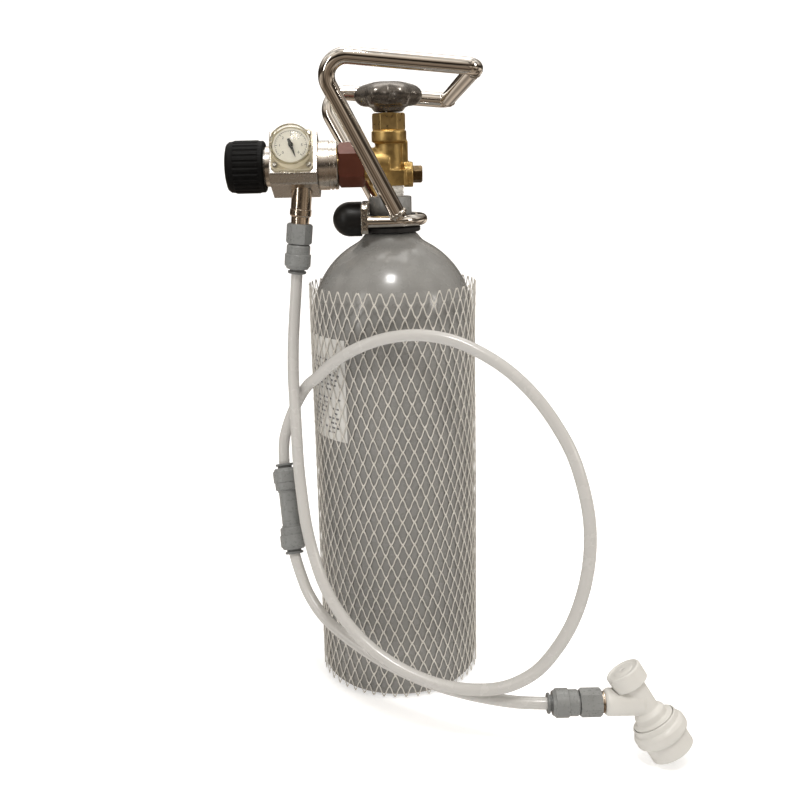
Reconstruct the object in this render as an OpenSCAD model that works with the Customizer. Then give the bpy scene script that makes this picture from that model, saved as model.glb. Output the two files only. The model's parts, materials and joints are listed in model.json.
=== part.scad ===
// Portable carbon dioxide kit: cylinder with valve and carry handle, mini
// pressure regulator, push-fit hose with check valve, ball-lock disconnect.
// Frame: origin at the centre of the cylinder base, +Z up the cylinder axis,
// regulator towards -X, hose loop and gauge towards -Y. Millimetres.

/* [Cylinder] */
// Outer diameter of the cylinder
cyl_d = 117; // [114:0.5:118]
// Height where the shoulder starts
shoulder_z = 271; // [268:1:273]
// Height of the shoulder ellipse
shoulder_h = 62.5; // [60:0.5:64]
// Diameter of the cylinder neck
neck_d = 30; // [29:0.1:30]
// Height of the neck's top face
neck_z = 360; // [358:1:361]
// Top edge of the protective net
net_top_z = 299; // [280:1:305]

/* [Cylinder valve] */
// Height of the side outlet axis
outlet_z = 382.3; // [382:0.1:382.6]
// Diameter of the side outlet thread
outlet_thread_d = 21.84; // [21.7:0.01:21.86]
// Diameter of the hand wheel over its lobes
wheel_d = 47.5; // [42:0.5:48]
// Number of lobes on the hand wheel
wheel_lobes = 6; // [5:1:8]

/* [Handle] */
// Diameter of the handle rods
rod_d = 10.8; // [9:0.1:11.5]
// Centre-line radius of the rod bends
bend_r = 13; // [11:0.5:15]
// Diameter of the neck yoke rod
yoke_d = 8; // [7:0.1:8]

/* [Regulator] */
// Side of the regulator block
block_w = 36; // [35:0.5:37]
// Tilt of the gauge face above level, degrees
gauge_tilt = 25.5; // [24:0.5:27]
// Diameter of the pressure knob
knob_d = 36.6; // [34:0.1:38]
// Number of grip flutes on the pressure knob
knob_flutes = 28; // [20:1:36]
// Across flats of the inlet nut
nut_af = 27; // [26:0.1:27.5]

/* [Hose and fittings] */
// Outer diameter of the hose
hose_d = 8; // [7.6:0.1:8]
// Outer diameter of the push-fit collars
collar_d = 18.6; // [18:0.1:19.2]
// Across flats of the flare nuts
flare_af = 16; // [15.6:0.1:17]

/* [Disconnect] */
// Radius of the post socket
socket_r = 8.9; // [8.8:0.01:8.95]
// Outer diameter of the locking collar's grip
grip_d = 36; // [34:0.5:38]

/* [Hidden] */
$fn = 64;
ax_z = outlet_z;      // regulator axis height
gx = -66.5;           // gauge centre along the regulator
gt = 3;               // gauge centre up the gauge face
out_o = [-61.6, -4, 368];   // outlet line origin
out_tilt = 6;         // outlet lean, degrees
cv_o = [-76.4, -30, 103.5]; // check valve lower mouth
cv_len = 66.6;
cv_rx = -19.5;
cv_ry = -6;
dc_o = [176, -139, 8.1];    // disconnect socket mouth centre
dc_rx = -13;
dc_ry = -31;
br_w = 37.6;          // branch height on the disconnect
hose_in = 15;         // depth of the hose in each push-fit mouth

// z axis of a frame turned by rotate([rx, 0, 0]) rotate([0, ry, 0])
function axis(rx, ry) = [sin(ry), -cos(ry) * sin(rx), cos(ry) * cos(rx)];
out_mouth = out_o - 61 * axis(0, out_tilt);
cv_ax = axis(cv_rx, cv_ry);
cv_top = cv_o + cv_len * cv_ax;
br_o = dc_o + br_w * axis(dc_rx, dc_ry);
df_o = [94.5, br_o[1], br_o[2]];

// Hose routes: the first and last points lie inside the fittings
route_a = [out_mouth + hose_in * axis(0, out_tilt), out_mouth, [-69.5, -5, 291],
  [-71, -8, 274], [-72, -14, 256], [-72, -22.5, 237], [-71, -30.5, 218.5],
  [-70, -38, 198], [-69, -44, 177], [-67, -50, 157], [-64, -57, 136],
  [-59, -64, 116], [-52, -72.5, 98], [-41, -82, 81], [-27, -91.5, 67],
  [-11, -101, 57], [7, -110, 50], [27, -118, 46], [48, -124.5, 46],
  [68, -130, 51], [86, -134, 63], [99, -136, 80], [109, -136.5, 99],
  [116, -135, 120], [120, -131, 141], [120.5, -126, 162],
  [117.5, -119.5, 182], [111.5, -112.5, 202], [102, -105, 220],
  [90, -97.5, 236.5], [75, -90, 251], [58, -83, 262], [39, -76, 270],
  [18, -70, 273], [-3, -66, 271], [-23, -61.5, 264], [-40, -53, 253],
  [-53.5, -39.5, 239], [-62.5, -25, 229], [-71, -11, 214.5],
  [-78.5, -4.5, 198], [-83, -4, 182.5], cv_top,
  cv_top - hose_in * cv_ax];
route_b = [cv_o + hose_in * cv_ax, cv_o,
  [-71.5, -36.5, 89], [-66, -44, 78], [-57, -53.5, 67.5],
  [-46.5, -61.5, 59.5],
  [-31, -72.5, 52], [-15, -83, 46], [1, -92.5, 42], [18, -102, 39],
  [36, -111, 37.5], [55, -120, 37.5], [75, -128, 38.5],
  df_o, df_o + [hose_in, 0, 0]];

function unit(v) = v / norm(v);
// Catmull-Rom through the inner points; the outer two are straight stubs
function spline(p, m) = concat([p[0]],
  [for (i = [1:len(p) - 3], k = [0:m - 1]) let (t = k / m)
    0.5 * (2 * p[i] + (p[i + 1] - p[i - 1]) * t
      + (2 * p[i - 1] - 5 * p[i] + 4 * p[i + 1] - p[i + 2]) * t * t
      + (3 * p[i] - p[i - 1] - 3 * p[i + 1] + p[i + 2]) * t * t * t)],
  [p[len(p) - 2], p[len(p) - 1]]);
function tangent(p, i) = unit(p[min(i + 1, len(p) - 1)] - p[max(i - 1, 0)]);
// Tube of radius r swept along points p, n sides, frames kept off axis ref
module tube(p, r, n, ref) {
  pts = [for (i = [0:len(p) - 1]) let (t = tangent(p, i),
      u = unit(cross(t, ref)), v = cross(t, u))
    for (k = [0:n - 1]) p[i] + r * (cos(360 * k / n) * u
      + sin(360 * k / n) * v)];
  last = (len(p) - 1) * n;
  polyhedron(points = pts, faces = concat(
    [[for (k = [0:n - 1]) k]],
    [[for (k = [0:n - 1]) last + n - 1 - k]],
    [for (i = [0:len(p) - 2], k = [0:n - 1])
      [i * n + k, (i + 1) * n + k, (i + 1) * n + (k + 1) % n]],
    [for (i = [0:len(p) - 2], k = [0:n - 1])
      [i * n + k, (i + 1) * n + (k + 1) % n, i * n + (k + 1) % n]]),
    convexity = 8);
}
// Points of a round bend of radius r at corner c between a and b
function bend(c, a, b, r, n) = let (u = unit(a - c), v = unit(b - c),
    h = acos(u * v) / 2, m = unit(u + v), s = unit(u - v),
    o = c + m * r / sin(h))
  [for (k = [0:n]) let (f = (90 - h) * (1 - 2 * k / n))
    o - r * cos(f) * m + r * sin(f) * s];
// Coil spring: wire radius w, coil radius r, height h, n turns
module coil(r, w, h, n, sides = 6, per = 14)
  tube([for (i = [0:n * per]) [r * cos(360 * i / per),
    r * sin(360 * i / per), w + (h - 2 * w) * i / (n * per)]],
    w, sides, [0, 0, 1]);
// Solid of revolution from [radius, height] points
module turned(p) rotate_extrude() polygon(p);
module ring(ro, ri, z0, z1) difference() {
  translate([0, 0, z0]) cylinder(r = ro, h = z1 - z0);
  translate([0, 0, z0 - 1]) cylinder(r = ri, h = z1 - z0 + 2);
}
module hexbar(af, z0, z1) translate([0, 0, z0])
  cylinder(d = af / cos(30), h = z1 - z0, $fn = 6);
// Local frames: z runs left along the regulator, out of the gauge face,
// up the outlet line from its mouth, up the check valve, up the disconnect
module rframe() translate([0, 0, ax_z]) rotate([0, -90, 0]) children();
module gframe() translate([gx, 0, ax_z]) rotate([90 - gauge_tilt, 0, 0])
  translate([0, gt, 0]) children();
module oframe() translate(out_o) rotate([0, out_tilt, 0])
  translate([0, 0, -61]) children();
module cframe() translate(cv_o) rotate([cv_rx, 0, 0])
  rotate([0, cv_ry, 0]) children();
module ctop() cframe() translate([0, 0, cv_len]) rotate([180, 0, 0])
  children();
module dframe() translate(dc_o) rotate([dc_rx, 0, 0])
  rotate([0, dc_ry, 0]) children();
module fframe() translate(df_o) rotate([0, 90, 0]) rotate([0, 0, 30])
  children();

// ---------- cylinder ----------
cr = cyl_d / 2;
nr = neck_d / 2;
function shoulder(a, b, r1, r2, n) = [for (k = [0:n]) let
  (f = acos(r1 / a) + (acos(r2 / a) - acos(r1 / a)) * k / n)
  [a * cos(f), shoulder_z + b * sin(f)]];
module cylinder_shell() color([0.55, 0.55, 0.53]) rotate_extrude($fn = 96)
  polygon(concat([[0, 0], [cr - 7, 0], [cr - 4, 1], [cr - 1.5, 3.2],
    [cr, 7]], shoulder(cr, shoulder_h, cr, 20.6, 24),
    [[19.6, 331.6], [18, 334], [16.4, 335.2], [nr, 335.5], [nr, neck_z - 0.6], [nr - 0.6, neck_z], [8.8, neck_z]],
    shoulder(cr - 4.5, shoulder_h - 5, 8.8, cr - 4.5, 16),
    [[cr - 4.5, 14], [cr - 8, 10], [cr - 14, 8.5], [0, 8.5]]));
module protective_net() color([0.85, 0.84, 0.8])
  ring(cr + 1.7, cr + 0.35, 1, net_top_z);
module info_label() color([0.9, 0.9, 0.88])
  translate([0, 0, 193]) rotate([0, 0, 188])
    rotate_extrude(angle = 47) translate([cr, 0]) square([0.2, 73]);
module thread_tape() color([0.95, 0.95, 0.93]) ring(9.8, 8.8, neck_z,
  367.8);

// ---------- cylinder valve ----------
module valve_body() color([0.72, 0.55, 0.25]) difference() {
  union() {
    translate([0, 0, 336]) cylinder(r = 8.75, h = 33);
    intersection() {
      translate([0, 0, 367.8]) cylinder(r = 14.5, h = 10.8);
      translate([-15, -10.5, 367]) cube([30, 21, 12]);
    }
    translate([0, 0, 378]) cylinder(r = 10, h = 20);
    translate([0, -4, 378]) cube([13, 8, 20]);
    translate([0, 0, 397]) turned([[0, 0], [11.4, 0], [12.2, 0.8],
      [12.2, 7.6], [11.4, 8.4], [0, 8.4]]);
    translate([0, 0, ax_z]) rotate([0, -90, 0]) {
      cylinder(r = 11.6, h = 13);
      cylinder(d = outlet_thread_d, h = 28);
    }
    translate([9.9, 0, 375]) rotate([0, 90, 0]) cylinder(r = 8.8, h = 6.5);
  }
  translate([0, 0, 335]) cylinder(r = 2.5, h = 46);
  translate([0, 0, 379.5]) cylinder(r = 6.5, h = 30);
  translate([0, 0, ax_z]) rotate([0, -90, 0]) cylinder(r = 2, h = 30);
  translate([0, 0, 375]) rotate([0, 90, 0]) {
    cylinder(r = 1.5, h = 14);
    translate([0, 0, 11]) cylinder(r = 4.05, h = 8);
  }
}
module gland_nut() color([0.8, 0.6, 0.25]) difference() {
  union() {
    intersection() {
      hexbar(20, 405.4, 417);
      translate([0, 0, 405.4]) turned([[0, 0], [11.2, 0], [11.55, 0.8],
        [11.55, 10.6], [10.6, 11.6], [0, 11.6]]);
    }
    translate([0, 0, 399]) cylinder(r = 6.45, h = 7);
  }
  translate([0, 0, 398]) cylinder(r = 4.07, h = 20);
}
module spindle_packing() color([0.9, 0.9, 0.85])
  ring(6.45, 4.07, 396, 399);
module burst_plug() color([0.45, 0.36, 0.2])
  translate([0, 0, 375]) rotate([0, 90, 0]) {
    translate([0, 0, 11.2]) cylinder(r = 4, h = 5.3);
    intersection() {
      rotate([0, 0, 8]) hexbar(10.4, 16.4, 22.9);
      translate([0, 0, 16.4]) turned([[0, 0], [6, 0], [6, 5.6],
        [5.1, 6.5], [0, 6.5]]);
    }
  }
wheel_z = 417.6;
module handwheel() color([0.35, 0.34, 0.33]) translate([0, 0, wheel_z])
  difference() {
    union() {
      turned([[0, 0], [9.6, 0], [10.6, 0.9], [13, 3.4], [16.5, 4.6],
        [18.6, 7], [19, 10], [18.4, 14], [16, 17.2], [11, 19.3], [7, 20],
        [0, 20]]);
      for (k = [0:wheel_lobes - 1]) rotate([0, 0, 360 / wheel_lobes * k])
        translate([wheel_d / 2 - 8.2, 0, 0]) turned([[0, 3.4], [4.4, 3.6],
          [6.9, 5], [8.2, 7.6], [8.2, 12.4], [6.9, 15.6], [4.4, 17.4],
          [0, 18]]);
    }
    translate([0, 0, -1]) cylinder(r = 4, h = 14.5);
    translate([0, 0, 16]) cylinder(r = 6.6, h = 6);
    translate([0, 0, 12]) cylinder(r = 3, h = 6);
  }
module spindle() color([0.6, 0.6, 0.58]) difference() {
  union() {
    translate([0, 0, 390]) cylinder(r = 4, h = 41);
    translate([0, 0, 430]) cylinder(r = 3, h = 7.4);
  }
  translate([0, 0, 389]) cylinder(r = 1.57, h = 8);
}
module wheel_nut() color([0.62, 0.62, 0.6]) difference() {
  hexbar(10, 433.7, 437.2);
  translate([0, 0, 433]) cylinder(r = 3, h = 6);
}
module valve_plug() color([0.7, 0.52, 0.24]) translate([0, 0, 379.8])
  turned([[0, 0], [4.2, 0], [6.1, 1.2], [6.1, 7.2], [1.5, 7.2],
    [1.5, 13.7], [0, 13.7]]);

// ---------- handle and neck clamp ----------
fr_end = [56.5, -52, 442.4];
fr_cor = [-48, -54, 453.2];
fr_leg = [6, -23, 347];
rr_end = [43.5, 52, 426.8];
rr_cor = [-53.5, 53, 436];
rr_leg = [-5, 23.2, 347];
module rod(a, c, b) tube(concat([a], bend(c, a, b, bend_r, 9), [b]),
  rod_d / 2, 16, [0, 1, 0]);
module handle_front_rod() color([0.8, 0.8, 0.8]) {
  rod(fr_end, fr_cor, fr_leg);
  translate(fr_end) sphere(r = rod_d / 2 - 0.05, $fn = 24);
}
module handle_rear_rod() color([0.8, 0.8, 0.8]) {
  rod(rr_end, rr_cor, rr_leg);
  translate(rr_end) sphere(r = rod_d / 2 - 0.05, $fn = 24);
}
module handle_cross_bar() color([0.8, 0.8, 0.8])
  tube([fr_end + [-0.3, 3, -0.4], rr_end + [0.3, -3, 0.4]], rod_d / 2 - 0.4,
    16, [0, 0, 1]);
module clamp_yoke() color([0.8, 0.8, 0.8]) translate([0, 0, 344]) {
  rotate([0, 0, -90]) rotate_extrude(angle = 180, $fn = 96)
    translate([22, 0]) circle(d = yoke_d, $fn = 32);
  for (s = [-1, 1]) translate([0, 22 * s, 0]) rotate([0, -90, 0])
    cylinder(d = yoke_d, h = 15.5, $fn = 32);
}
module clamp_plate() color([0.78, 0.78, 0.76]) difference() {
  translate([-20.5, 0, 345.9]) rotate([0, 90, 0]) linear_extrude(5)
    difference() {
      square([20.4, 54], center = true);
      for (sx = [-1, 1], sy = [-1, 1]) translate([10.2 * sx, 27 * sy])
        rotate(45) square(4, center = true);
    }
  translate([-23, 0, 344]) rotate([0, 90, 0]) cylinder(r = 4.05, h = 8);
}
module clamp_screw() color([0.6, 0.6, 0.6]) translate([-34, 0, 344])
  rotate([0, 90, 0]) {
    cylinder(r = 4, h = 18.7);
    hexbar(13, 0, 5.5);
  }
module clamp_cap() color([0.05, 0.05, 0.05]) translate([-20.5, 0, 344.6])
  rotate([0, -90, 0]) difference() {
    union() {
      cylinder(r = 12.2, h = 8.4);
      intersection() {
        translate([0, 0, 8.4]) sphere(r = 12.2);
        translate([0, 0, 8.3]) cylinder(r = 13, h = 13);
      }
    }
    translate([0, 0, -1]) cylinder(r = 8.6, h = 15.6);
  }
module neck_collar() color([0.08, 0.08, 0.08]) difference() {
  turned([[nr + 0.1, 335.6], [20, 335.6], [21, 336.4], [21, 338.8],
    [19.8, 339.7], [17.7, 339.7], [17.7, 348], [nr + 0.1, 348]]);
  translate([-30, -30, 339.7]) cube([15, 60, 10]);
  translate([-30, -30, 331]) cube([14.6, 60, 10]);
}

// ---------- regulator ----------
module inlet_nut() color([0.4, 0.15, 0.1]) rframe() difference() {
  intersection() {
    hexbar(nut_af, 17.5, 35.5);
    translate([0, 0, 17.5]) turned([[0, 0], [14, 0], [15.6, 1.2],
      [15.6, 16.8], [14, 18], [0, 18]]);
  }
  translate([0, 0, 16]) cylinder(r = 11, h = 17.3);
  translate([0, 0, 16]) cylinder(r = 7.27, h = 22);
}
module inlet_nipple() color([0.75, 0.58, 0.28]) rframe() difference() {
  union() {
    translate([0, 0, 30]) cylinder(r = 9.8, h = 3);
    translate([0, 0, 31]) cylinder(r = 7.2, h = 18.5);
  }
  translate([0, 0, 29]) cylinder(r = 3, h = 22);
}
module inlet_washer() color([0.9, 0.9, 0.88]) rframe()
  ring(9.8, 4.5, 28, 30);
module inlet_cap() color([0.72, 0.7, 0.68]) rframe() difference() {
  turned([[7.25, 36], [16.2, 36], [16.8, 36.6], [16.8, 38], [16.2, 38.3],
    [16.2, 39.1], [16.9, 39.4], [16.9, 40.9], [16.2, 41.2], [16.2, 41.9],
    [17, 42.2], [17, 48.9], [16.4, 49.5], [7.25, 49.5]]);
  for (k = [0:5]) rotate([0, 0, 60 * k + 30]) translate([13.4, 0, 35])
    cylinder(r = 1.1, h = 3);
}
bw = block_w / 2;
module block_profile() rotate(-gauge_tilt) polygon([[-13.6, bw], [-17.3, bw - 6.6], [-bw, bw - 8.4], [-bw, 4.5 - bw],
  [3.5 - bw, -bw], [bw - 3, -bw], [bw, 3 - bw], [bw, bw - 0.7],
  [bw - 0.7, bw]]);
module regulator_body() color([0.78, 0.77, 0.76]) difference() {
  rframe() difference() {
    translate([0, 0, 49.5]) linear_extrude(33) mirror([0, 1])
      block_profile();
    translate([0, 0, 69.5]) cylinder(r = 12.1, h = 14);
    translate([0, 0, 60]) cylinder(r = 4, h = 10);
    translate([0, 0, 57]) cylinder(r = 1.5, h = 4);
    translate([0, 0, 49]) cylinder(r = 5, h = 9);
  }
  gframe() translate([0, 0, 2]) cylinder(r = 1.5, h = 20);
  gframe() for (sx = [-1, 1], sy = [-1, 1])
    translate([11.4 * sx, 11.4 * sy, 14.2]) cylinder(r = 1.05, h = 6);
  oframe() translate([0, 0, 63]) cylinder(r = 2, h = 14);
  oframe() translate([0, 0, 40]) cylinder(r = 7.15, h = 24);
}
module bonnet() color([0.75, 0.74, 0.73]) rframe()
  turned([[3.4, 102], [3.4, 104], [13, 104], [13.3, 103.7], [13.3, 86.4],
    [13.9, 86], [13.9, 82.5], [12.05, 82.5], [12.05, 80.6], [10.6, 80.6],
    [10.6, 102]]);
module piston() color([0.7, 0.6, 0.35]) rframe()
  turned([[0, 58.6], [1.1, 58.6], [1.1, 71], [12.03, 71], [12.03, 75],
    [11.3, 75], [11.3, 77], [12.03, 77], [12.03, 78.8], [10, 78.8],
    [10, 77.6], [0, 77.6]]);
module poppet() color([0.7, 0.55, 0.3]) rframe()
  turned([[0, 53], [2, 53], [3.2, 54], [3.2, 57.2], [1.1, 57.6],
    [1.1, 58.6], [0, 58.6]]);
module main_spring() color([0.5, 0.5, 0.5]) rframe()
  translate([0, 0, 78]) coil(8, 0.7, 14.6, 4.5);
module adjusting_screw() color([0.7, 0.55, 0.28]) rframe()
  turned([[0, 92.6], [9.6, 92.6], [9.6, 95.4], [3, 95.4], [3, 109],
    [0, 109]]);
kr = knob_d / 2;
module pressure_knob() color([0.03, 0.03, 0.03]) rframe() difference() {
  turned([[0, 114], [kr - 5.5, 114], [kr - 2.4, 113.2], [kr - 0.9, 111.4],
    [kr - 0.5, 108.4], [kr, 107.4], [kr, 91.4], [kr - 0.5, 90.4],
    [kr - 0.6, 87.8], [kr - 1.4, 87], [14.1, 87], [14.1, 104.8],
    [6.4, 104.8], [6.4, 104.6], [3.07, 104.6], [3.07, 110.4],
    [0, 110.4]]);
  for (k = [0:knob_flutes - 1]) rotate([0, 0, 360 / knob_flutes * k])
    translate([kr + 0.75, 0, 86]) cylinder(r = 1.4, h = 22, $fn = 16);
}
module gauge_base() color([0.75, 0.68, 0.45]) gframe() difference() {
  union() {
    translate([0, 0, bw]) linear_extrude(2.4) difference() {
      square(29, center = true);
      for (k = [0:3]) rotate(90 * k) translate([14.5, 14.5]) rotate(45)
        square(3.4, center = true);
    }
    translate([0, 0, bw + 2]) cylinder(r = 14.2, h = 7);
  }
  translate([0, 0, bw + 1.4]) cylinder(r = 12.6, h = 8);
  translate([0, 0, bw - 1]) cylinder(r = 1.5, h = 4);
  for (sx = [-1, 1], sy = [-1, 1]) translate([11.4 * sx, 11.4 * sy, bw - 1])
    cylinder(r = 1.05, h = 5);
}
module gauge_dial() color([0.95, 0.95, 0.93]) gframe()
  ring(12.4, 0.87, bw + 8.2, bw + 8.8);
module bourdon_tube() color([0.75, 0.6, 0.3]) gframe()
  translate([0, 0, bw + 4]) {
    rotate_extrude(angle = 280) translate([8.5, 0]) circle(r = 1.1);
    translate([8.5, 0, -2.6]) cylinder(r = 1.6, h = 2.8);
  }
module gauge_needle() color([0.05, 0.05, 0.05]) gframe()
  translate([0, 0, bw + 9.6]) rotate([0, 0, -70]) {
    linear_extrude(0.5) polygon([[-4.6, -0.9], [-4.6, 0.9], [0, 1.3],
      [9.4, 0.15], [9.4, -0.15], [0, -1.3]]);
    translate([0, 0, -2.6]) cylinder(r = 0.8, h = 3.6);
    cylinder(r = 1.7, h = 0.9);
  }
module gauge_lens() color([0.9, 0.88, 0.75, 0.4]) gframe()
  translate([0, 0, bw + 9]) turned([[13, 0], [14.2, 0], [14.2, 3],
    [13.6, 4.6], [11.5, 6], [7.5, 7], [0, 7.4], [0, 6.2], [7.2, 5.8],
    [10.8, 4.9], [12.5, 3.6], [13, 2.4]]);
module gauge_screws() color([0.6, 0.6, 0.6]) gframe()
  for (sx = [-1, 1], sy = [-1, 1]) translate([11.4 * sx, 11.4 * sy, 0]) {
    translate([0, 0, 14.4]) cylinder(r = 1, h = 6);
    translate([0, 0, bw + 2.4]) turned([[0, 0], [1.8, 0], [1.8, 0.9],
      [1.1, 1.5], [0, 1.5]]);
  }

// ---------- push-fit line ----------
co = collar_d / 2;
module outlet_stem() color([0.72, 0.66, 0.58]) oframe() difference() {
  turned([[0, 64], [7.1, 64], [7.1, 45.6], [7.6, 45.2], [7.6, 41.4],
    [6.9, 40.5], [6.45, 40.3], [6.3, 34.4], [6.43, 34.2], [6.43, 27.2],
    [0, 27.2]]);
  translate([0, 0, 26]) cylinder(r = 2, h = 40);
}
// Swivel nut of a flare joint, local z from the hose mouth
module flare_nut() difference() {
  intersection() {
    hexbar(flare_af, 21.3, 35.4);
    translate([0, 0, 21.3]) turned([[0, 0], [8.2, 0], [9.4, 1.3],
      [9.4, 12.9], [8.2, 14.1], [0, 14.1]]);
  }
  translate([0, 0, 20]) cylinder(r = 5.27, h = 6);
  translate([0, 0, 23.6]) cylinder(r = 6.5, h = 12);
}
// Push-fit body with collar, groove and tail, local z from the hose mouth
module pushfit_body() difference() {
  turned([[0, 3.4], [7.6, 3.4], [8.6, 5.2], [co - 0.1, 5.6], [co, 6],
    [co, 13.4], [co - 0.3, 13.8], [8.4, 14.2], [8.4, 19.3], [8.1, 20],
    [7.5, 20.7], [5.2, 20.7],
    [5.2, 24.2], [6.1, 24.4], [6.1, 26.2], [5.2, 27.2], [0, 27.2]]);
  translate([0, 0, 3]) cylinder(r = 5.36, h = 8);
  translate([0, 0, 10.9]) cylinder(r = 6.2, h = 2.6);
  translate([0, 0, 13]) cylinder(r = 4.2, h = 2);
  translate([0, 0, 14]) cylinder(r = 2.6, h = 14);
}
module collet() turned([[4.08, 0], [6.2, 0], [6.6, 0.4], [6.6, 1.6],
  [5.3, 1.8], [5.3, 9.4], [4.08, 9.4]]);
module seal() translate([0, 0, 12.2]) rotate_extrude()
  translate([5.12, 0]) circle(r = 0.98, $fn = 24);
module outlet_nut() color([0.5, 0.52, 0.52]) oframe() flare_nut();
module outlet_fitting() color([0.5, 0.52, 0.52]) oframe() pushfit_body();
module outlet_collet() color([0.4, 0.42, 0.42]) oframe() collet();
module hose_seals() color([0.1, 0.1, 0.1]) {
  oframe() seal();
  cframe() seal();
  ctop() seal();
  fframe() seal();
}
module hose_a() color([0.85, 0.84, 0.8])
  tube(spline(route_a, 1), hose_d / 2, 12, [0, 1, 0]);
module hose_b() color([0.85, 0.84, 0.8])
  tube(spline(route_b, 1), hose_d / 2, 12, [0, 1, 0]);
module check_body() color([0.5, 0.52, 0.52]) cframe() difference() {
  turned([[0, 3.4], [7.6, 3.4], [8.6, 5.2], [co - 0.1, 5.6], [co, 6],
    [co, 13.4], [co - 0.3, 13.8], [8.5, 14.2], [8.5, 18.8], [8.1, 19.4],
    [7, 19.8], [7, 20.8], [6.5, 21.2], [6.5, 45.4], [7, 45.8], [7, 46.8],
    [8.1, 47.2], [8.5, 47.8], [8.5, 52.4], [co - 0.3, 52.8],
    [co, 53.2], [co, 60.6], [co - 0.1, 61],
    [8.6, 61.4], [7.6, 63.2], [0, 63.2]]);
  for (m = [0, 1]) translate([0, 0, m * cv_len]) mirror([0, 0, m]) {
    translate([0, 0, 3]) cylinder(r = 5.36, h = 8);
    translate([0, 0, 10.9]) cylinder(r = 6.2, h = 2.6);
    translate([0, 0, 13]) cylinder(r = 4.2, h = 2);
    translate([0, 0, 14]) cylinder(r = 2.2, h = 7);
  }
  translate([0, 0, 20]) cylinder(r = 4.8, h = 24);
  translate([0, 0, 40]) cylinder(r = 2.2, h = 8);
}
module check_poppet() color([0.85, 0.85, 0.8]) cframe()
  turned([[0, 31], [1.6, 31], [1.6, 39], [4.2, 39], [4.2, 41.4],
    [2, 43.6], [0, 43.6]]);
module check_spring() color([0.6, 0.6, 0.6]) cframe()
  translate([0, 0, 20.3]) coil(3, 0.5, 18.4, 4, 6, 12);
module check_collet_in() color([0.4, 0.42, 0.42]) ctop() collet();
module check_collet_out() color([0.4, 0.42, 0.42]) cframe() collet();

// ---------- ball-lock disconnect ----------
module disc_fitting() color([0.5, 0.52, 0.52]) fframe() pushfit_body();
module disc_collet() color([0.4, 0.42, 0.42]) fframe() collet();
module disc_nut() color([0.5, 0.52, 0.52]) fframe() flare_nut();
module disc_flare() color([0.7, 0.69, 0.67]) fframe() difference() {
  turned([[0, 27.2], [6.43, 27.2], [6.43, 34.6], [6, 35], [6, 36.4],
    [6.8, 36.5], [6.8, 37.3], [4, 37.4], [4, 47], [0, 47]]);
  translate([0, 0, 26]) cylinder(r = 2, h = 22);
}
module disc_body() color([0.86, 0.84, 0.78]) dframe() difference() {
  union() {
    turned([[0, 0], [12, 0], [12.2, 0.3], [12.2, 23.1], [13.9, 23.2],
      [13.9, 24.8], [10.8, 25.6], [10.6, 29.6], [9.4, 31], [7.9, 32],
      [7.9, 52.6], [0, 52.6]]);
    translate([0, 0, br_w]) rotate([0, -59, 0])
      turned([[0, 0], [8.9, 0], [8.9, 22.9], [7.6, 24.7], [0, 24.7]]);
  }
  translate([0, 0, -1]) cylinder(r = socket_r, h = 16);
  translate([0, 0, 52.6]) cylinder(r = 12.4, h = 12);
  ring(12.4, 7.95, 51, 54);
  translate([0, 0, 14]) cylinder(r = 2.6, h = 6);
  translate([0, 0, 18]) cylinder(r = 5, h = 36);
  translate([0, 0, br_w]) rotate([0, -59, 0]) cylinder(r = 4.05, h = 30);
  for (k = [0:3]) rotate([0, 0, 90 * k + 45]) translate([0, 0, 8])
    rotate([0, 90, 0]) cylinder(r = 1.36, h = 14);
}
module disc_cap() color([0.86, 0.84, 0.78]) dframe() difference() {
  turned([[0, 46.5], [4.95, 46.5], [4.95, 52.6], [8, 52.6], [8, 51],
    [11.6, 51], [12, 51.5], [12, 61.2], [11.4, 61.9], [10.4, 62],
    [9.4, 61.3], [0, 61.2]]);
  translate([0, 0, 46]) cylinder(r = 2.1, h = 5);
}
module disc_pin() color([0.75, 0.74, 0.7]) dframe()
  turned([[0, 15.2], [1.2, 15.2], [1.7, 15.8], [1.7, 18.3], [4.3, 18.3],
    [4.3, 20.6], [1.8, 21.4], [1.8, 44.6], [0, 44.6]]);
module pin_spring() color([0.6, 0.6, 0.6]) dframe()
  translate([0, 0, 20.8]) coil(3.5, 0.55, 25.6, 5, 6, 12);
module lock_collar() color([0.84, 0.82, 0.76]) dframe()
  turned([[12.29, 0], [14.5, 0], [14.9, 0.4], [14.9, 10.6],
    [15.6, 11.2], [17.2, 11.8], [grip_d / 2, 13.2], [grip_d / 2, 17.6],
    [grip_d / 2 - 0.8, 19], [16.6, 19.8], [15.6, 20.2], [15.3, 23.4],
    [14.8, 24.1], [14.3, 24.1], [14.3, 14], [12.29, 14]]);
module collar_spring() color([0.6, 0.6, 0.6]) dframe()
  translate([0, 0, 14.1]) coil(13.2, 0.5, 8.9, 2, 6, 18);
module lock_balls() color([0.65, 0.65, 0.65]) dframe()
  for (k = [0:3]) rotate([0, 0, 90 * k + 45]) translate([10.75, 0, 8])
    sphere(r = 1.3, $fn = 24);

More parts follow.
